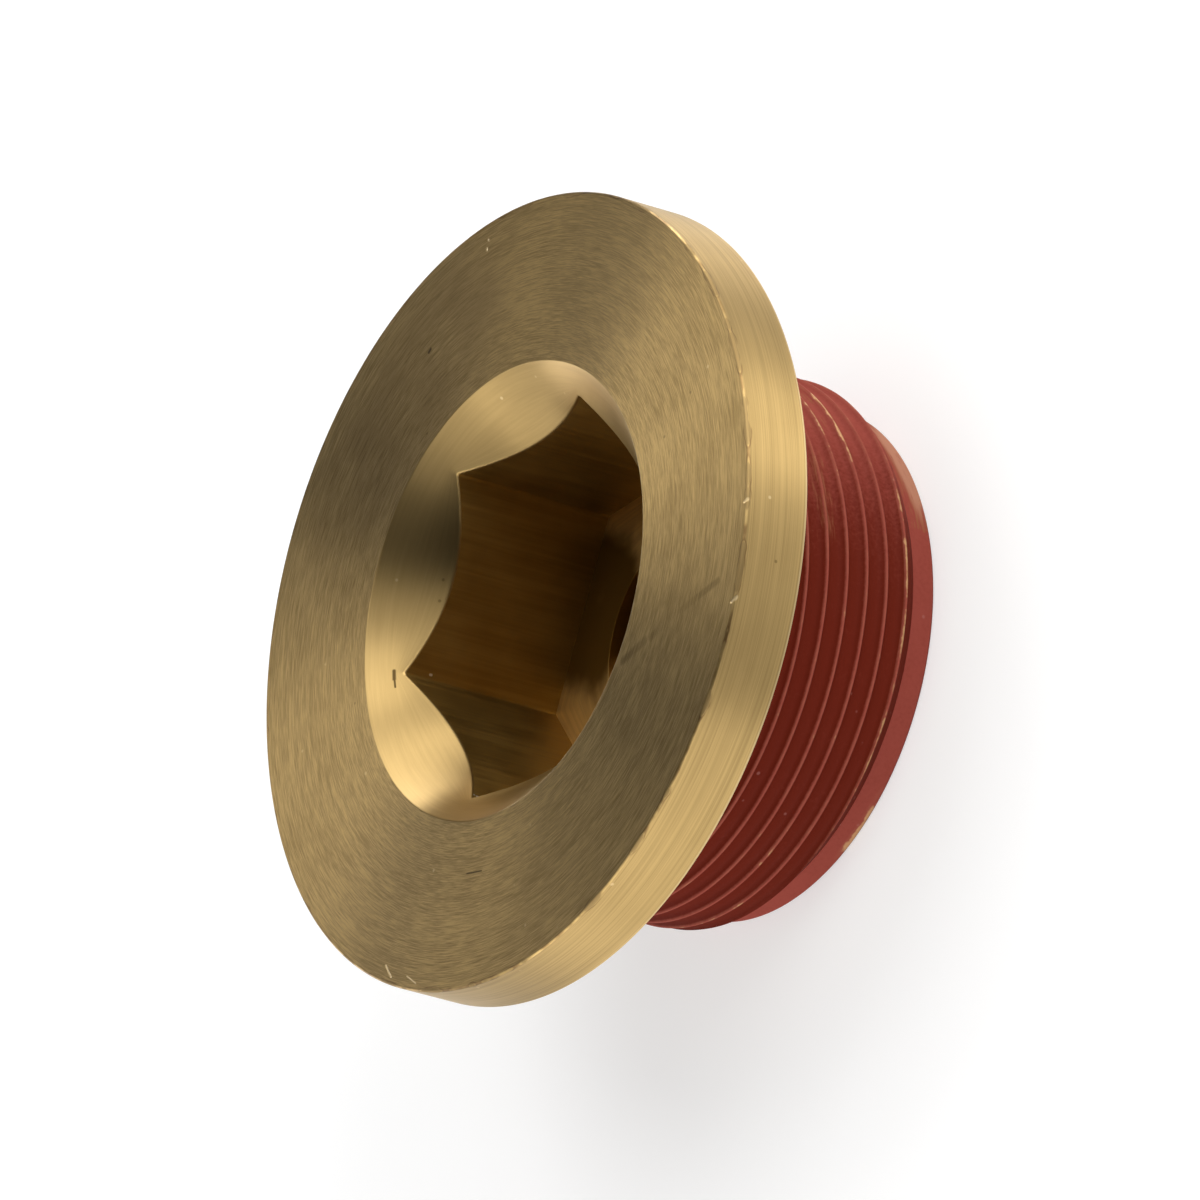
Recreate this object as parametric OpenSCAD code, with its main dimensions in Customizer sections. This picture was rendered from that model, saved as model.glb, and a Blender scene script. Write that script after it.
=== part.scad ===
// Flanged drain plug, turned from one piece of brass.
// A wide flange carries a hexagon drive socket with a countersunk mouth.
// The shank below it has a fine metric thread, drawn here at its major diameter.
// The plug stands on the end of its shank: Z = 0 is the end face, and +Z runs up the axis to the head.

/* [Flange] */
// Diameter of the flange
flange_d = 50; // [44:0.5:70]
// Thickness of the flange
flange_t = 4.5; // [3:0.1:8]
// Chamfer that breaks the flange's two rims
rim_chamfer = 0.1; // [0.1:0.05:0.8]

/* [Drive socket] */
// Width of the hexagon across its flats
hex_af = 22; // [14:0.5:24]
// Depth of the hexagon below the face
hex_depth = 13.3; // [8:0.1:14.5]
// Diameter of the countersink at the face
sink_d = 28.8; // [25:0.1:34]
// Included angle of the countersink
sink_angle = 90; // [70:5:120]
// Diameter of the drilled step in the socket's floor
step_d = 14.4; // [6:0.2:18]
// Depth of that step below the floor
step_depth = 1; // [0.4:0.1:2]

/* [Shank] */
// Length of the shank, from the seat to the end face
shank_len = 16.3; // [14:0.1:30]
// Major diameter of the thread
thread_d = 35; // [32:0.5:42]
// Leg of the 45 degree lead-in chamfer at the start of the thread
lead_in = 1.3; // [0.8:0.1:2]
// Length of the plain pilot at the end
pilot_len = 1.7; // [1:0.1:4]
// Chamfer on the end face's edge
end_chamfer = 0.2; // [0.2:0.1:0.8]
// Width of the thread relief under the seat
relief_w = 3; // [2.2:0.1:5]
// Depth of the thread relief, measured on the radius
relief_depth = 1.2; // [0.9:0.1:2]
// Fillet radius in the thread relief's two corners
relief_fillet = 0.8; // [0.3:0.1:0.9]

/* [Hidden] */
brass = "darkgoldenrod";
sealant = "firebrick";

// How far a cutter runs past the surface that it opens, and how finely round shapes are drawn
run_out = 1;
$fn = 128;

// Heights up the axis, from the end face
seat_z = shank_len;
face_z = shank_len + flange_t;
floor_z = face_z - hex_depth;

flange_r = flange_d / 2;
thread_r = thread_d / 2;
pilot_r = thread_r - lead_in;
relief_r = thread_r - relief_depth;
hex_corner_d = hex_af / cos(30);

// Disc with both rims broken by a chamfer
module flange() {
    rotate_extrude()
        polygon([
            [0, seat_z],
            [flange_r - rim_chamfer, seat_z],
            [flange_r, seat_z + rim_chamfer],
            [flange_r, face_z - rim_chamfer],
            [flange_r - rim_chamfer, face_z],
            [0, face_z],
        ]);
}

// Pilot, lead-in chamfer and the cylinder that bears the thread, up to the seat
module shank() {
    rotate_extrude()
        polygon([
            [0, 0],
            [pilot_r - end_chamfer, 0],
            [pilot_r, end_chamfer],
            [pilot_r, pilot_len],
            [thread_r, pilot_len + lead_in],
            [thread_r, seat_z],
            [0, seat_z],
        ]);
}

// Ring cut between the thread and the seat, with a fillet in each inner corner
module thread_relief() {
    rotate_extrude()
        union() {
            translate([relief_r + relief_fillet, seat_z - relief_w])
                square([relief_depth - relief_fillet + run_out, relief_w]);
            translate([relief_r, seat_z - relief_w + relief_fillet])
                square([relief_depth, relief_w - 2 * relief_fillet]);
            for (z = [seat_z - relief_w + relief_fillet, seat_z - relief_fillet])
                translate([relief_r + relief_fillet, z])
                    circle(r = relief_fillet);
        }
}

// Cone that opens the mouth of the socket. It ends inside the hexagon, below where it meets the flats.
module countersink() {
    slope = tan(sink_angle / 2);
    sink_depth = (sink_d - hex_af) / 2 / slope + run_out;
    translate([0, 0, face_z - sink_depth])
        cylinder(
            h = sink_depth + run_out,
            r1 = sink_d / 2 - sink_depth * slope,
            r2 = sink_d / 2 + run_out * slope
        );
}

// Hexagon with two flats square to Y, its countersunk mouth and the drilled step in its floor
module drive_socket() {
    translate([0, 0, floor_z])
        cylinder(h = hex_depth + run_out, d = hex_corner_d, $fn = 6);
    translate([0, 0, floor_z - step_depth])
        cylinder(h = step_depth + run_out, d = step_d);
    countersink();
}

module drain_plug() {
    difference() {
        union() {
            color(brass) flange();
            color(sealant) difference() {
                shank();
                thread_relief();
            }
        }
        color(brass) drive_socket();
    }
}

drain_plug();
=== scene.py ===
# %% [markdown]
# # A flanged drain plug in turned brass
# The plug is one turned piece: a wide flange with a countersunk hexagon socket, and a short shank
# whose fine thread lies under dried red sealant. This lesson builds its whole skin as numpy
# surfaces, because nearly all of it is an outline carried round one axis, and then gives that skin
# its finishes.
#
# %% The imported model
import math
import bpy
import numpy as np
from mathutils import Matrix, Quaternion, Vector


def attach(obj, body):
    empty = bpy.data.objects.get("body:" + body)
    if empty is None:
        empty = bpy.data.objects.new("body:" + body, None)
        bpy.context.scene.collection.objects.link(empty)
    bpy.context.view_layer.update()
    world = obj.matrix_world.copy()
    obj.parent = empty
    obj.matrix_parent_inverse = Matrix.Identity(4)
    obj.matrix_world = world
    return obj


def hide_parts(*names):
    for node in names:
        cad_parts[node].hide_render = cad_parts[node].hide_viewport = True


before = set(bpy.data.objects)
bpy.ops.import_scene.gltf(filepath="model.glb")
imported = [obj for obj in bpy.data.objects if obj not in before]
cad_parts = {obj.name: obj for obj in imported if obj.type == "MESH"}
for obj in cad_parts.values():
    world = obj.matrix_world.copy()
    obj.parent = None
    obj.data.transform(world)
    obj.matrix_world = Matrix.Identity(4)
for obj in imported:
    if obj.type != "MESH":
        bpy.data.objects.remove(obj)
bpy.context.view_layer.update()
scene = bpy.context.scene
scene.view_settings.view_transform = "Standard"

# %% [markdown]
# ## Dimensions
# The lengths repeat the part's own, in metres. The plug stands on the end of its shank, at z = 0,
# and its axis is Z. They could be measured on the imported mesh, but a few named lengths are easier
# to read, and the others follow from them. The thread is drawn a little under its nominal size, as
# a real one is cut.
#
# %% Lengths of the plug
MM = 0.001
seat_z = 16.3 * MM
face_z = seat_z + 4.5 * MM
floor_z = face_z - 13.3 * MM
step_z = floor_z - 1 * MM
flange_r, rim_chamfer = 25 * MM, 0.1 * MM
sink_r, flat_r, step_r = 14.4 * MM, 11 * MM, 7.2 * MM
nominal_r, pitch = 17.5 * MM, 1.5 * MM
thread_r = nominal_r - 0.08 * MM
pilot_r = nominal_r - 1.3 * MM
relief_r = nominal_r - 1.2 * MM
pilot_z = 1.7 * MM
lead_z = pilot_z + thread_r - pilot_r
relief_z = seat_z - 3 * MM
end_chamfer, relief_fillet = 0.2 * MM, 0.8 * MM
heights_mm = [round(z / MM, 2) for z in (face_z, seat_z, floor_z)]
print("heights of face, seat and socket floor, mm:", *heights_mm)

# %% [markdown]
# ## The turn
# Every surface has the same columns round the axis, about one to a degree, so all of them meet
# point on point. The hexagon's corners are the only sharp turns, and a few more columns beside each
# corner keep it crisp. A finer step everywhere would do the same with many more triangles.
#
# %% Columns round the turn
near_corner = np.radians([-1.1, -0.8, -0.5, -0.25, 0.25, 0.5, 0.8, 1.1])
corner_turns = (np.arange(6)[:, None] * np.pi / 3 + near_corner).ravel() % (2 * np.pi)
turn = np.sort(np.concatenate([np.linspace(0, 2 * np.pi, 360 + 1), corner_turns]))
columns = len(turn) - 1
print("columns round the turn:", columns)

# %% [markdown]
# ## Outlines
# A turned piece is known by its outline. The tool eases each corner a little, and that thin curve
# is what catches the light, so every corner becomes a quadratic Bezier curve. A bevel modifier
# could do this too, but it would also round the thread.
#
# %% Outlines carried round the axis


def eased(corners, ease, steps=5):
    """Outline through corners, given as radius and height. Each inner corner P becomes the curve
    (1-t)^2 A + 2t(1-t) P + t^2 B, where A and B lie ease before and after P on its two sides. One more
    point just outside each of A and B keeps the flats next to the curve flat in smooth shading."""
    p = np.asarray(corners, float)
    side = np.diff(p, axis=0)
    side /= np.linalg.norm(side, axis=1, keepdims=True)
    back, on = side[:-1, None], side[1:, None]
    t = np.linspace(0, 1, steps)[:, None]
    knee = p[1:-1, None]
    curve = (1 - t) ** 2 * (knee - ease * back) + 2 * t * (1 - t) * knee + t ** 2 * (knee + ease * on)
    hold = ease + 0.02 * MM
    curve = np.concatenate([knee - hold * back, curve, knee + hold * on], 1)
    return np.concatenate([p[:1], curve.reshape(-1, 2), p[-1:]])


def around(rows):
    """Grid of rows (radius, height) carried round Z: x = r cos a, y = r sin a, z = h. The rows may
    change round the turn, with one (radius, height) for each column."""
    rows = rows if rows.ndim == 3 else np.repeat(rows[:, None], columns + 1, 1)
    r, h = rows[..., 0], rows[..., 1]
    return np.stack([r * np.cos(turn), r * np.sin(turn), h], -1)


print("points on a corner eased in five steps:", len(eased([(0, 0), (MM, 0), (MM, MM)], 0.1 * MM)))

# %% [markdown]
# ## Shank
# Below the flange come the flat end, the plain pilot that finds the hole, and the relief where the
# threading tool ran out. Each is a few straight lines between corners, so the outline function
# draws them. The pilot has more rows than its shape needs, because the wear of its sealant is
# stored on its points.
#
# %% End, pilot and relief
pilot_ease, relief_ease = 0.08 * MM, 0.75 * MM
end_edge = (pilot_r - 2 * end_chamfer, 0)
end_grid = around(np.array([(0, 0), (0.4 * MM, 0), (5 * MM, 0), (10 * MM, 0), end_edge]))
band = np.linspace(2 * end_chamfer, pilot_z, 9)
pilot_corners = [end_edge, (pilot_r - end_chamfer, 0), (pilot_r, end_chamfer), (pilot_r, band[0])]
band_rows = np.stack([np.full(len(band) - 1, pilot_r), band[1:]], -1)
pilot_grid = around(np.concatenate([eased(pilot_corners, pilot_ease), band_rows]))
seat_edge = (relief_r + relief_fillet, seat_z)
relief_corners = [(thread_r, relief_z), (relief_r, relief_z), (relief_r, seat_z), seat_edge]
relief_grid = around(eased(relief_corners, relief_ease, steps=7))
print("rows of end, pilot and relief:", *[len(grid) for grid in (end_grid, pilot_grid, relief_grid)])

# %% [markdown]
# ## Flange
# The flange is one outline from the seat over the rim and the face to the mouth of the countersink.
# It could be a cylinder with a bevel, but then the rim, the face and the cone would need sorting by
# angle. Here the outline is simply cut in three at the rim and at the mouth, because each stretch
# was turned with another tool.
#
# %% Rim, face and countersink
head_ease, cone_drop = 0.045 * MM, 1.2 * MM
cone_low = (sink_r - cone_drop, face_z - cone_drop)
head = eased([seat_edge, (flange_r - rim_chamfer, seat_z), (flange_r, seat_z + rim_chamfer),
              (flange_r, face_z - rim_chamfer), (flange_r - rim_chamfer, face_z), (sink_r, face_z),
              cone_low], head_ease)
on_face = (head[:, 1] > face_z - 1e-9) & (head[:, 0] > sink_r)
outer_row, mouth_row = np.flatnonzero(on_face)[[0, -1]]
rim_grid = around(head[:outer_row + 1])
face_grid = around(head[outer_row:mouth_row + 1])
cone_grid = around(head[mouth_row:])
print("rows of rim, face and cone:", *[len(grid) for grid in (rim_grid, face_grid, cone_grid)])

# %% [markdown]
# ## Socket
# The hexagon is a radius that changes round the turn: half its width, over the cosine of the angle
# from the middle of the nearest flat. The 90 degree countersink falls as fast as it narrows, so the
# edge where the two meet dips at each flat. Those scallops come out of the formula and need no
# boolean. Adding high powers of the six cosines, in place of taking the largest, leaves each corner
# a little rounded, as the tool does.
#
# %% Hexagon and its scalloped edge
corner_power = 200
flats = np.maximum(np.cos(turn - np.arange(np.pi / 6, 2 * np.pi, np.pi / 3)[:, None]), 0)
hex_r = flat_r / (flats ** corner_power).sum(0) ** (1 / corner_power)
edge = np.stack([hex_r, face_z - (sink_r - hex_r)], -1)
up_cone, down_wall = np.array([1, 1]), np.array([0, -1])
lip_up, lip_down, lip_hold = 0.08 * MM, 0.1 * MM, 0.03 * MM
above, below = edge + lip_up * up_cone, edge + lip_down * down_wall
t = np.linspace(0, 1, 5)[:, None, None]
lip = (1 - t) ** 2 * above + 2 * t * (1 - t) * edge + t ** 2 * below
lip = np.concatenate([above[None] + lip_hold * up_cone, lip, below[None] + lip_hold * down_wall])
lip_grid = around(np.concatenate([np.full((1, columns + 1, 2), cone_low), lip]))
print("socket across corners, mm:", round(2 * float(hex_r.max()) / MM, 2))

# %% [markdown]
# ## Walls and floor of the socket
# The walls drop straight from the scalloped edge, so they are rows shared out between that edge and
# the floor. The floor runs in to a round step that a drill left before the hexagon was cut. Both
# could be extruded from a hexagon, but rows of the same turn close on the edge without a gap.
#
# %% Socket walls and floor
share = np.linspace(1, 0, 8)[1:, None]
wall = np.stack([hex_r + 0 * share, floor_z + share * (lip[-1, :, 1] - floor_z)], -1)
wall_grid = around(np.concatenate([lip[-1:], wall]))
step_ease, floor_margin = 0.05 * MM, 0.5 * MM
step_corners = [(step_r + floor_margin, floor_z), (step_r, floor_z), (step_r, step_z), (0, step_z)]
step_rows = np.repeat(eased(step_corners, step_ease)[:, None], columns + 1, 1)
floor_grid = around(np.concatenate([wall[-1:], step_rows]))
print("rows of wall and floor:", len(wall_grid), len(floor_grid))

# %% [markdown]
# ## Thread
# A thread is one groove wound up the shank. A screw modifier could wind it, but its ends would need
# trimming. Here the rows follow the helix, so each crest is a clean line: a row climbs one pitch in
# a turn and meets the row one pitch above. Rows that would leave the threaded length stop at its
# ends, and the turned outline cuts the crests at the lead-in. The sealant has pooled in the root
# and rounds it.
#
# %% Thread surface
# From the middle of a crest to the middle of a root, in pitches, and how deep the groove is there
across = np.array([0, 0.03, 0.05, 0.11, 0.17, 0.24, 0.34, 0.5])
depth = np.array([0, 0, 0.02, 0.16, 0.29, 0.37, 0.415, 0.43]) * MM
# The height of a crest at angle 0, in pitches
crest_shift = 0.237
steps = np.concatenate([across[:-1], 1 - across[:0:-1]])
first_turn, last_turn = math.floor(pilot_z / pitch) - 2, math.ceil(relief_z / pitch) + 1
wound = turn / (2 * np.pi) + crest_shift
climb = (np.arange(first_turn, last_turn)[:, None] + steps).reshape(-1, 1) + wound
height = np.clip(climb * pitch, pilot_z, relief_z)
off_crest = np.abs((height / pitch - wound + 0.5) % 1 - 0.5)
turned = np.interp(height, [pilot_z, lead_z, relief_z], [pilot_r, thread_r, thread_r])
cut = np.minimum(turned, thread_r - np.interp(off_crest, across, depth))
radius = np.where((height <= pilot_z) | (height >= relief_z), turned, cut)
thread_grid = around(np.stack([radius, height], -1))
print("thread turns:", round((relief_z - pilot_z) / pitch, 2), "rows:", len(climb))

# %% [markdown]
# ## Sealant
# Dried sealant is thick where it ran together and thin where it was wiped. It could be painted by
# hand. Here each worn place is a smooth hill round an angle and a height, so it is a few numbers
# that are easy to move. The crests have rubbed on something and show brass in short lengths, the
# lowest crest over the longest stretch, and the band below it was wiped thin on one side.
#
# %% Worn places
# Each place: angle and half its width in degrees, height and half its reach in mm, strength
crest_rubs = [(331, 20, 6.6, 2.0, 1.0), (280, 70, 3.0, 0.9, 0.5),
              (215, 40, 4.5, 2.5, 0.3), (60, 60, 8, 4, 0.3)]
crest_thins = [(312, 22, 9, 1.8, 0.4), (345, 24, 7.5, 3, 0.4)]
band_wipe = [(329, 38, 0.5, 1.6, 1.2)]
edge_rubs = [(239, 13, 0.25, 0.42, 1.0), (80, 50, 0.1, 0.4, 0.45)]
wipe_start = 308.5


def bump(x, middle, half):
    """A smooth hill: (1 - d^2)^2 for d = |x - middle| / half below 1, and 0 beyond."""
    d = np.clip(np.abs(x - middle) / half, 0, 1)
    return (1 - d ** 2) ** 2


def worn(a, z, places):
    """The sum of several places, each its strength times a hill round its angle and one round its
    height."""
    return sum(much * bump(a, angle, wide) * bump(z, high, reach)
               for angle, wide, high, reach, much in places)


print("worn places:", len(crest_rubs + crest_thins + band_wipe + edge_rubs))

# %% [markdown]
# ## Cover of sealant
# Three numbers for each point carry the sealant to its finish: how far it has pooled, how thin it
# was wiped, and how far brass shows through. A painted image could hold them, but numbers on the
# points need no file.
#
# %% Pooled, thin and bare
crest_fade, crest_bare = 0.06 * MM, 0.22
pilot_pooled, relief_pooled = 0.1, 0.9
# Round this angle the pooled number is lowered, which makes the sealant paler on that side of the
# thread.
paler_angle, paler_wide, paler_much = 350, 65, 0.9


def cover(grid, coat):
    """Pooled, thin and bare for each point of a grid, by its angle in degrees and its height in mm. On
    the thread a crest is 1 at the full radius and falls to 0 at crest_fade below it."""
    a, z = np.degrees(turn) + 0 * grid[..., 2], grid[..., 2] / MM
    if coat == "thread":
        below_crest = thread_r - np.hypot(grid[..., 0], grid[..., 1])
        crest = np.clip(1 - below_crest / crest_fade, 0, 1)
        pooled = 1 - np.maximum(crest, paler_much * bump(a, paler_angle, paler_wide))
        bare = crest * np.clip(crest_bare + worn(a, z, crest_rubs), 0, 1)
        return pooled, worn(a, z, crest_thins), bare
    if coat == "pilot":
        wiped = np.where(a > wipe_start, worn(a, z, band_wipe), 0)
        return pilot_pooled + 0 * a, np.clip(wiped, 0, 1), worn(a, z, edge_rubs)
    return relief_pooled + 0 * a, 0 * a, 0 * a


most = [round(float(amount.max()), 2) for amount in cover(pilot_grid, "pilot")[1:]]
print("thin and bare on the pilot, most:", *most)

# %% [markdown]
# ## Points, faces and UV
# The grids are laid end to end in one list of points. The UV map keeps the turn in U and the
# outline's length in V, because the tool marks run along U. An unwrap could make it too, but it
# would not know that direction.
#
# %% Lay the grids end to end
uv_length = 25 * MM
TURNED, FACED, BORED, DRILLED, BROACHED, SEALED = range(6)
skins = [(end_grid, FACED, ""), (pilot_grid, SEALED, "pilot"), (thread_grid, SEALED, "thread"),
         (relief_grid, SEALED, "relief"), (rim_grid, TURNED, ""), (face_grid, FACED, ""),
         (cone_grid, BORED, ""), (lip_grid, BORED, ""), (wall_grid, BROACHED, ""),
         (floor_grid, DRILLED, "")]


def triangles(grid, first):
    """Two triangles for each cell of a grid of rows and columns. Its points are numbered from first."""
    rows, cols = grid.shape[:2]
    n = first + np.arange(rows * cols).reshape(rows, cols)
    a, b, c, d = n[:-1, :-1], n[:-1, 1:], n[1:, 1:], n[1:, :-1]
    halves = [np.stack(half, -1).reshape(-1, 3) for half in ((a, b, c), (a, c, d))]
    return np.concatenate(halves)


points, tris, uvs, finish, coats = [], [], [], [], []
count, run = 0, 0.0
flat_column = columns // 12
for grid, kind, coat in skins:
    paces = np.linalg.norm(np.diff(grid[:, flat_column], axis=0), axis=1)
    length = run + np.concatenate([[0], np.cumsum(paces)])
    u, v = np.meshgrid(turn / (2 * np.pi), length / uv_length)
    faces = triangles(grid, count)
    points.append(grid.reshape(-1, 3))
    uvs.append(np.stack([u, v], -1).reshape(-1, 2))
    coats.append(np.stack(cover(grid, coat), -1).reshape(-1, 3))
    tris.append(faces)
    finish.append(np.full(len(faces), kind))
    count, run = count + u.size, length[-1]
points, tris, uvs, finish, coats = map(np.concatenate, (points, tris, uvs, finish, coats))
print("points:", len(points), "outline's length, mm:", round(run / MM, 1))

# %% [markdown]
# ## One closed skin
# The grids meet row on row, so points that fall together are welded, and faces that lost a side
# drop out. That closes the seam of every turn, the poles and the joins in one step. Merging by
# distance in Blender would do the same, but here the arrays can be tested first: a closed skin has
# two faces on each edge.
#
# %% Weld the grids
weld_step = 1e-8
keys = np.round(points / weld_step).astype(np.int64)
_, first, weld = np.unique(keys, axis=0, return_index=True, return_inverse=True)
corner = weld.reshape(-1)[tris]
whole = (corner != np.roll(corner, 1, 1)).all(1)
corner, tris, finish = corner[whole], tris[whole], finish[whole]
sides = np.sort(np.stack([corner, np.roll(corner, -1, 1)], -1).reshape(-1, 2), 1)
uses = np.unique(sides, axis=0, return_counts=True)[1]
p = points[first][corner]
volume = np.einsum("ij,ij->i", p[:, 0], np.cross(p[:, 1], p[:, 2])).sum() / 6
print("triangles:", len(corner), "open edges:", int((uses != 2).sum()))
print("volume, cm3:", round(volume * 1e6, 3))

# %% [markdown]
# ## The mesh
# The arrays go into a mesh in a few fast calls; adding the points one by one would be slow. Each
# triangle gets its finish, each corner its UV, and each point the three numbers of the sealant.
# Edges that turn by more than the sharp angle stay sharp, and the rest is shaded smooth.
#
# %% Skin as a mesh
sharp_angle = math.radians(32)
skin = bpy.data.meshes.new("plug_body")
skin.vertices.add(len(first))
skin.vertices.foreach_set("co", points[first].astype(np.float32).ravel())
skin.loops.add(corner.size)
skin.loops.foreach_set("vertex_index", corner.astype(np.int32).ravel())
skin.polygons.add(len(corner))
skin.polygons.foreach_set("loop_start", np.arange(0, corner.size, 3, dtype=np.int32))
skin.polygons.foreach_set("material_index", finish.astype(np.int32))
skin.polygons.foreach_set("use_smooth", np.ones(len(corner), bool))
skin.uv_layers.new(name="turned").data.foreach_set("uv", uvs[tris.ravel()].astype(np.float32).ravel())
for name, values in zip(("pooled", "thin", "bare"), coats[first].T.astype(np.float32)):
    skin.attributes.new(name, "FLOAT", "POINT").data.foreach_set("value", values)
skin.update(calc_edges=True)
skin.set_sharp_from_angle(angle=sharp_angle)
plug_body = bpy.data.objects.new("plug_body", skin)
scene.collection.objects.link(plug_body)
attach(plug_body, "root")
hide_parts("drain_plug")
print(plug_body.name, "stands for drain_plug")

# %% [markdown]
# ## Nodes
# A finish is a tree of nodes. It could be drawn in the Shader Editor, but a script needs one line a
# node, so a short helper makes a node and fills its inputs, with a number for a fixed value and a
# socket for a link. The others name the sums that come up again and again.
#
# %% Node helpers


def node(tree, kind, takes=None, **settings):
    """A new shader node of that kind. takes gives its inputs by name or number."""
    made = tree.nodes.new("ShaderNode" + kind)
    for name, value in settings.items():
        setattr(made, name, value)
    for key, value in (takes or {}).items():
        if isinstance(value, bpy.types.NodeSocket):
            tree.links.new(value, made.inputs[key])
        else:
            made.inputs[key].default_value = value
    return made


def calc(tree, operation, *values):
    """The result of a Math node on one to three values."""
    return node(tree, "Math", dict(enumerate(values)), operation=operation).outputs[0]


def vector(tree, operation, takes, output="Vector"):
    """The result of a Vector Math node: its Vector, or its Value for a length or a dot product."""
    return node(tree, "VectorMath", takes, operation=operation).outputs[output]


def ramp(tree, value, low, high, to_low=0.0, to_high=1.0):
    """value, eased from to_low at low to to_high at high."""
    takes = {"Value": value, "From Min": low, "From Max": high, "To Min": to_low, "To Max": to_high}
    return node(tree, "MapRange", takes, interpolation_type="SMOOTHSTEP").outputs[0]


def noise(tree, place, scale, detail):
    """Noise at a place, with about so many features to a metre."""
    return node(tree, "TexNoise", {"Vector": place, "Scale": scale, "Detail": detail}).outputs[0]


def weigh(tree, one, two, part):
    """part of one and the rest of two."""
    return calc(tree, "MULTIPLY_ADD", one, part, calc(tree, "MULTIPLY", two, 1 - part))


def stir(tree, value, grain, amount):
    """value, moved up and down by a grain whose middle is 0.5."""
    return calc(tree, "MULTIPLY_ADD", calc(tree, "SUBTRACT", grain, 0.5), amount, value)


def blend(tree, amount, one, two):
    """The colour from one to two by amount."""
    return node(tree, "Mix", {0: amount, 6: one, 7: two}, data_type="RGBA").outputs[2]


def tint(tree, colour, mask, amount, other):
    """A colour taken towards another by a mask times an amount."""
    return blend(tree, calc(tree, "MULTIPLY", mask, amount), colour, other)


helpers = (node, calc, vector, ramp, noise, weigh, stir, blend, tint)
print("node helpers:", *[helper.__name__ for helper in helpers])

# %% [markdown]
# ## Node groups
# Several finishes share an effect. The nodes could be copied into each material, but a node group
# is built once and placed with its own values. It puts out only values that change over the
# surface.
#
# %% Group helpers


def new_group(name, takes, gives):
    """An empty node group with those inputs and outputs, each as a name and a socket kind."""
    tree = bpy.data.node_groups.new(name, "ShaderNodeTree")
    for way, ends in (("INPUT", takes), ("OUTPUT", gives)):
        for end, kind in ends:
            tree.interface.new_socket(end, in_out=way, socket_type="NodeSocket" + kind)
    return tree, tree.nodes.new("NodeGroupInput").outputs, tree.nodes.new("NodeGroupOutput").inputs


def use(tree, group, **takes):
    """The outputs of a group placed in a tree."""
    return node(tree, "Group", takes, node_tree=group).outputs


print("group helpers:", new_group.__name__, use.__name__)

# %% [markdown]
# ## Tool marks
# A lathe tool leaves fine rings that fade in and out. A wave texture would draw perfect rings, so
# the marks are noise stretched along the turn instead. The noise reads the direction from the axis
# and the outline's length, and so has no seam.
#
# %% Tool marks group
marks_group, given, out = new_group(
    "tool_marks",
    [("Place", "Vector"), ("Run", "Float"), ("Rings", "Float"), ("Arcs", "Float")],
    [("Marks", "Float")])
flat = vector(marks_group, "MULTIPLY", {0: given["Place"], 1: (1, 1, 0)})
heading = vector(marks_group, "NORMALIZE", {0: flat})
along = vector(marks_group, "SCALE", {0: heading, "Scale": given["Arcs"]})
climbed = calc(marks_group, "MULTIPLY", given["Run"], given["Rings"])
up = node(marks_group, "CombineXYZ", {2: climbed}).outputs[0]
where = vector(marks_group, "ADD", {0: along, 1: up})
rings = node(marks_group, "TexNoise", {"Vector": where, "Scale": 1.0, "Detail": 2.0, "Roughness": 0.6})
marks_group.links.new(rings.outputs[0], out["Marks"])
print(marks_group.name, "has", len(marks_group.nodes), "nodes")

# %% [markdown]
# ## Strokes
# A nick, a smear or a scratch is the space within a width of a line between two points. An image
# could hold them, but a line has only a few numbers and stays sharp at any size. The group finds
# the nearest point of the line, as a share of its length, and fades with the distance from it.
#
# %% Stroke group
stroke_group, given, out = new_group(
    "stroke",
    [("Place", "Vector"), ("From", "Vector"), ("To", "Vector"), ("Width", "Float")],
    [("Stroke", "Float")])
arm = vector(stroke_group, "SUBTRACT", {0: given["Place"], 1: given["From"]})
line = vector(stroke_group, "SUBTRACT", {0: given["To"], 1: given["From"]})
dots = [vector(stroke_group, "DOT_PRODUCT", {0: way, 1: line}, "Value") for way in (arm, line)]
reached = node(stroke_group, "Clamp", {0: calc(stroke_group, "DIVIDE", *dots)}).outputs[0]
foot = vector(stroke_group, "SCALE", {0: line, "Scale": reached})
gap = vector(stroke_group, "DISTANCE", {0: arm, 1: foot}, "Value")
inside = calc(stroke_group, "SUBTRACT", 1.0, calc(stroke_group, "DIVIDE", gap, given["Width"]))
stroke_group.links.new(ramp(stroke_group, inside, 0.0, 0.7), out["Stroke"])


def strokes(tree, place, lines):
    """The strongest of several strokes at a place, each given by its start, end and width in mm."""
    strongest = 0.0
    for start, end, width in lines:
        ends = {"From": Vector(start) * MM, "To": Vector(end) * MM, "Width": width * MM}
        stroke = use(tree, stroke_group, Place=place, **ends)["Stroke"]
        strongest = calc(tree, "MAXIMUM", strongest, stroke)
    return strongest


print(stroke_group.name, "has", len(stroke_group.nodes), "nodes")

# %% [markdown]
# ## Specks
# Pits in the metal, dust on it and flecks in the sealant are small round dots, far apart. They
# could be scattered as little meshes. Single cells of a Voronoi pattern do the same in the finish:
# a cell counts where its random colour is high enough, and the dot is the space near the cell's
# middle.
#
# %% Speck group
speck_group, given, out = new_group(
    "specks",
    [("Place", "Vector"), ("Cells", "Float"), ("Size", "Float"), ("Rare", "Float")],
    [("Specks", "Float")])
cell = node(speck_group, "TexVoronoi", {"Vector": given["Place"], "Scale": given["Cells"]})
picked = calc(speck_group, "GREATER_THAN", cell.outputs["Color"], given["Rare"])
outward = calc(speck_group, "DIVIDE", cell.outputs["Distance"], given["Size"])
near = calc(speck_group, "SUBTRACT", 1.0, outward)
dot = ramp(speck_group, near, 0.0, 0.6)
speck_group.links.new(calc(speck_group, "MULTIPLY", picked, dot), out["Specks"])
print(speck_group.name, "has", len(speck_group.nodes), "nodes")
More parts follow.
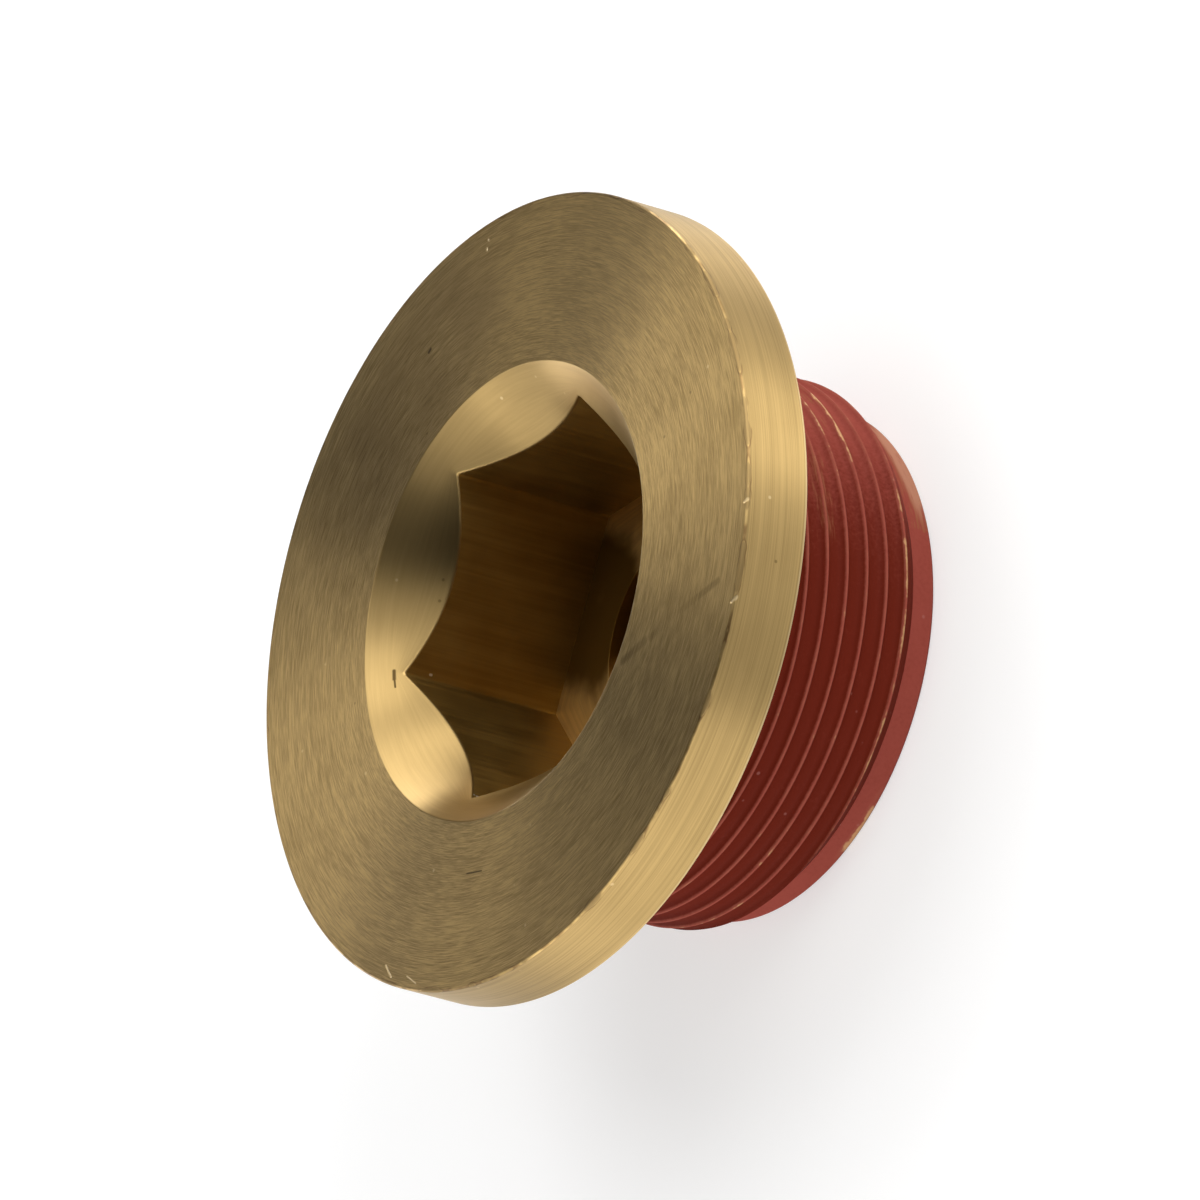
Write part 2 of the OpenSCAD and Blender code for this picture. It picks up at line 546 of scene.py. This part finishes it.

# %% [markdown]
# ## Edges of the flange
# The tool left a thin ragged fold along the flange's front edge, with a dark line beside it. The back
# edge gets a painted highlight, a thin bright band in its colour. Modelled, the fold would need a far
# finer mesh, so it is a mask: the distance from the edge, inwards plus down, against a reach that noise
# makes ragged.
#
# %% Edge group
burr_group, given, out = new_group(
    "burr", [("Place", "Vector")], [("Fold", "Float"), ("Line", "Float"), ("Back_Highlight", "Float")])
flat = vector(burr_group, "MULTIPLY", {0: given["Place"], 1: (1, 1, 0)})
r_here = vector(burr_group, "LENGTH", {0: flat}, "Value")
z_here = node(burr_group, "SeparateXYZ", {0: given["Place"]}).outputs[2]
inward = calc(burr_group, "SUBTRACT", flange_r, r_here)
gap = calc(burr_group, "ADD", inward, calc(burr_group, "SUBTRACT", face_z, z_here))
back_gap = calc(burr_group, "ADD", inward, calc(burr_group, "SUBTRACT", z_here, seat_z))
ragged = use(burr_group, marks_group, Place=given["Place"], Run=0.0, Rings=0.0, Arcs=9.0)["Marks"]
past = calc(burr_group, "SUBTRACT", gap, ramp(burr_group, ragged, 0.4, 0.7, 0.04 * MM, 0.3 * MM))
line_start = ramp(burr_group, past, -0.03 * MM, 0.02 * MM)
line_end = ramp(burr_group, past, 0.03 * MM, 0.13 * MM, 1.0, 0.0)
dark_line = calc(burr_group, "MULTIPLY", line_start, line_end)
broken = use(burr_group, marks_group, Place=given["Place"], Run=1.0, Rings=1.0, Arcs=12.0)["Marks"]
dark_line = calc(burr_group, "MULTIPLY", dark_line, ramp(burr_group, broken, 0.4, 0.6))
burr_group.links.new(ramp(burr_group, past, -0.05 * MM, 0.0, 1.0, 0.0), out["Fold"])
burr_group.links.new(dark_line, out["Line"])
# The third output marks the band along the back edge that gets a painted highlight.
burr_group.links.new(ramp(burr_group, back_gap, 0.13 * MM, 0.25 * MM, 1.0, 0.0), out["Back_Highlight"])
print(burr_group.name, "has", len(burr_group.nodes), "nodes")

# %% [markdown]
# ## Marks of use
# Nicks show fresh bright metal, cuts and pits are dark, and handling has left dull smears. The widest
# smear, across a quarter of the face, is painted shade that darkens one of the face's dark wings. They
# are strokes at places read off the photograph. Random scratches would be quicker, but they would not
# be this plug's.
#
# %% Nicks, smears and cuts
face_mm = face_z / MM


def face_marks(*marks):
    """Strokes on the flange's face, each given by its start (x, y), end (x, y) and width in mm."""
    return [((*start, face_mm), (*end, face_mm), width) for start, end, width in marks]


nicks = face_marks(((-23.9, 1.8), (-24.5, 0.9), 0.09), ((-24.2, -0.8), (-24.45, -1.9), 0.08),
                   ((20.1, 11.6), (20.2, 11.65), 0.12), ((20.7, 11.7), (20.75, 11.75), 0.10))
edge_nicks = [((8.6, -23.2, face_mm), (9.0, -23.6, face_mm - 0.1), 0.16),
              ((2.6, -24.6, face_mm), (3.1, -25.0, face_mm - 0.2), 0.16)]
smears_and_shade = face_marks(((-2.4, -14.9), (-0.9, -16.6), 0.4), ((-0.6, -17.2), (1.2, -18.9), 0.4),
                    # The last and widest of these is painted shade that darkens the face between about
                    # 40 and 80 degrees.
                    ((1.4, -19.6), (3.6, -22.6), 0.35), ((15.8, 12.8), (4.0, 19.5), 6.5))
cuts = face_marks(((-17.2, -4.3), (-16.8, -5.8), 0.07), ((13.2, 15.0), (13.4, 14.9), 0.16))
cone_cuts = [((-6.35, 11.47, 19.52), (-6.85, 11.2, 19.52), 0.17),
             ((-6.7, 11.28, 19.52), (-7.3, 10.89, 19.5), 0.1)]
chips = [((-12.45, 0.44, 18.75), (-12.45, 0.44, 18.7), 0.13),
         ((-12.52, 0.32, 18.5), (-12.52, 0.32, 18.4), 0.15),
         ((-6.0, 11.0, 17.2), (-6.0, 11.0, 17.1), 0.12)]
print("marks of use:", len(nicks + edge_nicks + smears_and_shade + cuts + cone_cuts + chips))

# %% [markdown]
# ## Turned brass
# Rings stretch a reflection across them, so the shader is anisotropic with its tangent along U, turned
# a quarter. A plain rough metal would be easier, but it would lose the face's two light wings and its
# dark ones. Three sizes of tool marks set the tone; the folds, darkened as painted shade, the back
# edge's painted highlight, the smears, the widest of them painted shade, and the pits and nicks are
# then laid over it.
#
# %% Turned brass helper
# The fresh colour serves nicks and dust, and also the painted highlight on the back edge.
DULL, BRIGHT, FRESH_AND_HIGHLIGHT = (0.27, 0.182, 0.070, 1), (0.51, 0.35, 0.14, 1), (0.62, 0.47, 0.25, 1)
SHADED_FOLD, LINED = (0.24, 0.165, 0.075, 1), (0.14, 0.075, 0.03, 1)
SMEARED_AND_SHADED, PITTED = (0.15, 0.10, 0.045, 1), (0.08, 0.05, 0.018, 1)


def start(name):
    """A new material with its tree, its shader, the object's own coordinates and the outline's length
    in mm."""
    made = bpy.data.materials.new(name)
    made.use_nodes = True
    tree = made.node_tree
    place = node(tree, "TexCoord").outputs["Object"]
    along = node(tree, "SeparateXYZ", {0: node(tree, "UVMap", uv_map="turned").outputs[0]}).outputs[1]
    run = calc(tree, "MULTIPLY", along, uv_length / MM)
    return made, tree, tree.nodes["Principled BSDF"], place, run


def brass_finish(name, rings, arcs, contrast, rough, depth, spread, marks=((), (), ())):
    """Turned brass with so many rings a mm, each broken into arcs, and with that contrast, roughness,
    depth of the rings and anisotropy. marks gives its nicks, its smears with any painted shade among
    them, and its cuts."""
    made, tree, shader, place, run = start(name)
    fine = use(tree, marks_group, Place=place, Run=run, Rings=rings, Arcs=arcs)["Marks"]
    finer = use(tree, marks_group, Place=place, Run=run, Rings=rings * 2.7, Arcs=arcs * 2.2)["Marks"]
    broad = use(tree, marks_group, Place=place, Run=run, Rings=rings * 0.15, Arcs=arcs * 0.3)["Marks"]
    cloud = noise(tree, place, 200.0, 4.0)
    tone = weigh(tree, weigh(tree, cloud, broad, 0.5), weigh(tree, finer, fine, 0.35), 0.3)
    tone = ramp(tree, tone, 0.36, 0.64, 0.5 - contrast, 0.5 + contrast)
    nicked, smeared_and_shaded, marked = [strokes(tree, place, lines) for lines in marks]
    smeared_and_shaded = calc(tree, "MULTIPLY", smeared_and_shaded, ramp(tree, cloud, 0.35, 0.65, 0.2, 1.0))
    pits = use(tree, speck_group, Place=place, Cells=700.0, Size=0.10, Rare=0.86)["Specks"]
    dust = use(tree, speck_group, Place=place, Cells=520.0, Size=0.08, Rare=0.7)["Specks"]
    # The back mask carries a painted highlight along the flange's back edge.
    fold, line, back = use(tree, burr_group, Place=place)
    metal = blend(tree, tone, DULL, BRIGHT)
    # The fold's darker colour is painted shade that dulls the highlight the eased front edge catches.
    for mask, amount, colour in ((back, 0.7, FRESH_AND_HIGHLIGHT), (fold, 0.5, SHADED_FOLD), (line, 0.75, LINED),
                                 # The smear mask also carries that wide patch of painted shade.
                                 (smeared_and_shaded, 0.5, SMEARED_AND_SHADED)):
        metal = tint(tree, metal, mask, amount, colour)
    marked = calc(tree, "MAXIMUM", marked, calc(tree, "MULTIPLY", pits, 0.5))
    metal = blend(tree, marked, metal, PITTED)
    fresh = calc(tree, "MAXIMUM", nicked, calc(tree, "MULTIPLY", dust, 0.7))
    tree.links.new(blend(tree, fresh, metal, FRESH_AND_HIGHLIGHT), shader.inputs["Base Color"])
    dulled = calc(tree, "MULTIPLY_ADD", tone, -0.08, rough + 0.04)
    dulled = calc(tree, "MULTIPLY_ADD", fold, 0.2, dulled)
    tree.links.new(calc(tree, "MULTIPLY_ADD", smeared_and_shaded, 0.08, dulled), shader.inputs["Roughness"])
    height_here = calc(tree, "MULTIPLY_ADD", nicked, -2.0, fine)
    dent = node(tree, "Bump", {"Strength": 0.4, "Distance": depth, "Height": height_here})
    tree.links.new(dent.outputs[0], shader.inputs["Normal"])
    tangent = node(tree, "Tangent", direction_type="UV_MAP", uv_map="turned")
    tree.links.new(tangent.outputs[0], shader.inputs["Tangent"])
    shader.inputs["Metallic"].default_value = 1.0
    shader.inputs["Anisotropic"].default_value = spread
    shader.inputs["Anisotropic Rotation"].default_value = 0.25
    print(name, "has", len(tree.nodes), "nodes")
    return made


print("tones of the brass, red to blue:", DULL[:3], BRIGHT[:3])

# %% [markdown]
# ## Rim, face and countersink
# The three turned stretches could be three separate trees, but one function with other values keeps
# them alike. The face was cut with a coarser feed than the rim and the countersink, so it is
# rougher and its rings show more.
#
# %% Turned brass finishes
turned_brass = brass_finish("turned_brass", rings=9.0, arcs=1.2, contrast=0.3, rough=0.41,
                            depth=0.009 * MM, spread=0.86, marks=(edge_nicks, (), ()))
faced_brass = brass_finish("faced_brass", rings=15.0, arcs=13.0, contrast=0.65, rough=0.43,
                           depth=0.03 * MM, spread=0.85, marks=(nicks + edge_nicks, smears_and_shade, cuts))
bored_brass = brass_finish("bored_brass", rings=5.0, arcs=2.5, contrast=0.1, rough=0.36,
                           depth=0.006 * MM, spread=0.7, marks=((), (), cone_cuts))

# %% [markdown]
# ## Broached brass
# The hexagon's walls were pushed through by a toothed tool, so their lines run down the wall and not
# round it. The same tool marks give them when the rings are few and the arcs many. Little light reaches
# the walls, and their colour is darker and browner than the turned faces': painted shade for that
# recess. The tool has left a few bright chips at the mouth.
#
# %% Broached brass finish
broached_brass, tree, shader, place, run = start("broached_brass")
lines = use(tree, marks_group, Place=place, Run=run, Rings=0.12, Arcs=60.0)["Marks"]
tone = ramp(tree, weigh(tree, noise(tree, place, 300.0, 3.0), lines, 0.4), 0.3, 0.7)
# Darker and browner than the turned brass: painted shade for the walls of the socket.
metal = blend(tree, tone, (0.28, 0.173, 0.042, 1), (0.37, 0.232, 0.06, 1))
metal = blend(tree, strokes(tree, place, chips), metal, (0.8, 0.72, 0.6, 1))
tree.links.new(metal, shader.inputs["Base Color"])
tree.links.new(calc(tree, "MULTIPLY_ADD", tone, 0.12, 0.42), shader.inputs["Roughness"])
dent = node(tree, "Bump", {"Strength": 0.25, "Distance": 0.03 * MM, "Height": lines})
tree.links.new(dent.outputs[0], shader.inputs["Normal"])
shader.inputs["Metallic"].default_value = 1.0
print("broached brass:", len(tree.nodes), "nodes")

# %% [markdown]
# ## Drilled brass
# The floor of the socket is dull and warm, because nearly all its light has bounced off the walls. Its
# colour is lighter than the turned brass, as painted light for the light the deep socket keeps from it.
# A dark patch of painted shade lies on it near one flat and darkens the middle of the strip that shows.
# A stroke alone would leave a smooth oval there, so noise is added before the edge is drawn, which
# makes it uneven.
#
# %% Drilled brass finish
drilled_brass, tree, shader, place, run = start("drilled_brass")
rings = use(tree, marks_group, Place=place, Run=run, Rings=5.0, Arcs=1.5)["Marks"]
# Lighter than the turned brass: painted light for the deep socket floor.
metal = blend(tree, ramp(tree, rings, 0.3, 0.7), (0.58, 0.38, 0.14, 1), (0.70, 0.46, 0.17, 1))
floor_mm = floor_z / MM
# A dark patch of painted shade across the middle of the floor, near the +Y flat.
painted_floor_shade = strokes(tree, place, [((1.6, 9.3, floor_mm), (-0.6, 9.3, floor_mm), 5.8)])
painted_floor_shade = ramp(tree, stir(tree, painted_floor_shade, noise(tree, place, 300.0, 3.0), 1.2), 0.15, 0.85)
tree.links.new(blend(tree, painted_floor_shade, metal, (0.16, 0.085, 0.016, 1)), shader.inputs["Base Color"])
shader.inputs["Metallic"].default_value = 1.0
shader.inputs["Roughness"].default_value = 0.55
print("drilled brass:", len(tree.nodes), "nodes")

# %% [markdown]
# ## Dried sealant
# The sealant is matt, and darkest where it pooled. Where it is thin it turns orange over the brass,
# and where it has rubbed off, brass shows. Two shaders could be mixed for that. One shader that
# turns metallic by a mask does the same and is easier to bake. Noise, finer than the mesh, breaks
# up the edges of the masks.
#
# %% Colour of the sealant
dried_sealant, tree, shader, place, run = start("dried_sealant")
pooled, thin, bare = [node(tree, "Attribute", attribute_name=name).outputs["Fac"]
                      for name in ("pooled", "thin", "bare")]
fine = noise(tree, place, 4200.0, 3.0)
cloud = noise(tree, place, 420.0, 3.0)
lengths = use(tree, marks_group, Place=place, Run=run, Rings=0.8, Arcs=16.0)["Marks"]
wiping = use(tree, marks_group, Place=place, Run=run, Rings=6.0, Arcs=9.0)["Marks"]
flecks = use(tree, speck_group, Place=place, Cells=620.0, Size=0.1, Rare=0.35)["Specks"]
thick = stir(tree, stir(tree, pooled, cloud, 0.3), fine, 0.6)
red = blend(tree, ramp(tree, thick, 0.0, 1.0), (0.225, 0.046, 0.033, 1), (0.098, 0.0110, 0.0048, 1))
red = tint(tree, red, flecks, 0.4, (0.30, 0.12, 0.10, 1))
wiped = ramp(tree, stir(tree, thin, wiping, 2.0), 0.2, 0.9)
wiped = calc(tree, "MULTIPLY", wiped, ramp(tree, thin, 0.02, 0.2))
haze = blend(tree, ramp(tree, thin, 0.6, 1.0), (0.22, 0.075, 0.036, 1), (0.36, 0.18, 0.11, 1))
red = tint(tree, red, wiped, 0.75, haze)
crest = calc(tree, "MULTIPLY", ramp(tree, bare, 0.0, 0.2), ramp(tree, lengths, 0.35, 0.65, 0.12, 0.34))
red = blend(tree, crest, red, (0.27, 0.09, 0.055, 1))
print("nodes for the sealant's colour:", len(tree.nodes))

# %% [markdown]
# ## Brass through the sealant
# On the rubbed crests the metal shows in short lengths. The number on the points says where that
# may be, and noise along the turn says where it is. The last lines put the six finishes on the skin
# in the order of their numbers.
#
# %% Sealant finish
ragged = stir(tree, stir(tree, bare, lengths, 1.8), fine, 0.5)
shows = calc(tree, "MULTIPLY", ramp(tree, ragged, 0.45, 0.85), ramp(tree, bare, 0.05, 0.3))
tree.links.new(blend(tree, shows, red, (0.42, 0.23, 0.11, 1)), shader.inputs["Base Color"])
tree.links.new(calc(tree, "MULTIPLY", shows, 0.8), shader.inputs["Metallic"])
matt = ramp(tree, thick, 0.0, 0.8, 0.7, 0.6)
tree.links.new(calc(tree, "MULTIPLY_ADD", shows, -0.12, matt), shader.inputs["Roughness"])
lumps = calc(tree, "MULTIPLY_ADD", cloud, 1.5, calc(tree, "MULTIPLY", fine, 0.5))
dent = node(tree, "Bump", {"Strength": 0.3, "Distance": 0.04 * MM, "Height": lumps})
tree.links.new(dent.outputs[0], shader.inputs["Normal"])
shader.inputs["Specular IOR Level"].default_value = 0.03
for made in (turned_brass, faced_brass, bored_brass, drilled_brass, broached_brass, dried_sealant):
    skin.materials.append(made)
print("finishes:", [made.name for made in skin.materials])

# %% [markdown]
# ## Floor
# A plain white floor fills the frame. Bright lamps alone would wash out the shadow before the floor
# turned white. So its own colour is grey and takes the shadow, and a little glow that only the
# camera and reflections see lifts it to the white of the background.
#
# %% Floor
floor_half, floor_drop = 6.0, 0.02 * MM
around_middle = ((-1, -1), (1, -1), (1, 1), (-1, 1))
ground = bpy.data.meshes.new("floor")
floor_corners = [(x * floor_half, y * floor_half, -floor_drop) for x, y in around_middle]
ground.from_pydata(floor_corners, [], [(0, 1, 2, 3)])
floor = bpy.data.objects.new("floor", ground)
scene.collection.objects.link(floor)
white_floor = bpy.data.materials.new("white_floor")
white_floor.use_nodes = True
tree = white_floor.node_tree
shader = tree.nodes["Principled BSDF"]
shader.inputs["Base Color"].default_value = (0.55, 0.55, 0.55, 1)
shader.inputs["Roughness"].default_value = 0.9
shader.inputs["Specular IOR Level"].default_value = 0.0
shader.inputs["Emission Color"].default_value = (1, 1, 1, 1)
path = node(tree, "LightPath").outputs
lift, mirrored_lift = 0.5, 0.4
mirrored = calc(tree, "MAXIMUM", path["Is Glossy Ray"], path["Is Transmission Ray"])
seen = calc(tree, "MULTIPLY", path["Is Camera Ray"], lift)
seen = calc(tree, "MAXIMUM", seen, calc(tree, "MULTIPLY", mirrored, mirrored_lift))
tree.links.new(seen, shader.inputs["Emission Strength"])
ground.materials.append(white_floor)
print("floor lift:", lift)

# %% [markdown]
# ## Camera
# The photograph shows the plug tipped on its side. Here it stands, and the camera leans over
# instead: it looks down at 33 degrees and is rolled by 75, which gives the same picture of the
# plug. Its angles could be set by eye; these were fitted to the flange's ellipse and the hexagon's
# corners in the photograph. A long lens from a metre away keeps the lines nearly parallel. The
# softboxes are placed by the same two angles later.
#
# %% Camera


def heading_to(azimuth, elevation):
    """The direction at an azimuth and elevation in degrees: (cos a cos e, sin a cos e, sin e)."""
    a, e = math.radians(azimuth), math.radians(elevation)
    return Vector((math.cos(a) * math.cos(e), math.sin(a) * math.cos(e), math.sin(e)))


aim = Vector((0.84, -10.57, 20.68)) * MM
distance, roll = 1.0, math.radians(-74.53)
back = heading_to(-91.01, 33.25)
leaning = (-back).to_track_quat("-Z", "Y") @ Quaternion((0, 0, 1), roll)
lens = bpy.data.cameras.new("camera")
lens.lens, lens.sensor_width = 497.1, 36
lens.clip_start, lens.clip_end = 0.01, 20
camera = bpy.data.objects.new("camera", lens)
scene.collection.objects.link(camera)
camera.matrix_world = Matrix.LocRotScale(aim + distance * back, leaning, None)
scene.camera = camera
print("camera height, mm:", round(camera.location.z / MM))

# %% [markdown]
# ## Light
# Turned metal shows the room it stands in. A sky image could be that room, but a small studio is
# easier to steer: banks of softboxes in a ring near the floor and a ring above it. The gaps between
# the banks give the face its dark wings and the rim its dark bands, and the banks on the +X side
# are stronger, as the photograph asks. Three boxes higher up reach the sealant and the socket. The
# world adds almost nothing, because an even sky would wash the wings out.
#
# %% Light
studio = bpy.data.worlds.new("studio")
studio.use_nodes = True
studio.node_tree.nodes["Background"].inputs["Color"].default_value = (1, 1, 1, 1)
studio.node_tree.nodes["Background"].inputs["Strength"].default_value = 0.02
scene.world = studio
# Each bank: elevation and azimuths in degrees, and the power of each box in watts
low, mid, high, top = 5, 27, 50, 72
banks = [(low, (-30, 30), 2.5), (low, (180, 210, 240), 2.0), (low, (90, 120), 0.8),
         (mid, (-60, 0, 30), 1.1), (mid, (-30,), 2.7), (mid, (120, 150, 180, 210), 0.8),
         (high, (45,), 1.5), (high, (90,), 0.15), (top, (0,), 1.2)]
boxes = [(azimuth, elevation, power) for elevation, azimuths, power in banks for azimuth in azimuths]
box_distance, box_size, low_box_size = 0.8, 0.42, 0.14
for azimuth, elevation, power in boxes:
    way = heading_to(azimuth, elevation)
    lamp = bpy.data.lights.new("softbox", "AREA")
    lamp.shape, lamp.energy = "RECTANGLE", power
    lamp.size, lamp.size_y = box_size, low_box_size if elevation == low else box_size
    softbox = bpy.data.objects.new("softbox", lamp)
    scene.collection.objects.link(softbox)
    softbox.location = way * box_distance
    softbox.rotation_euler = (-way).to_track_quat("-Z", "Y").to_euler()
    softbox.visible_camera = False
print("softboxes:", len(boxes))
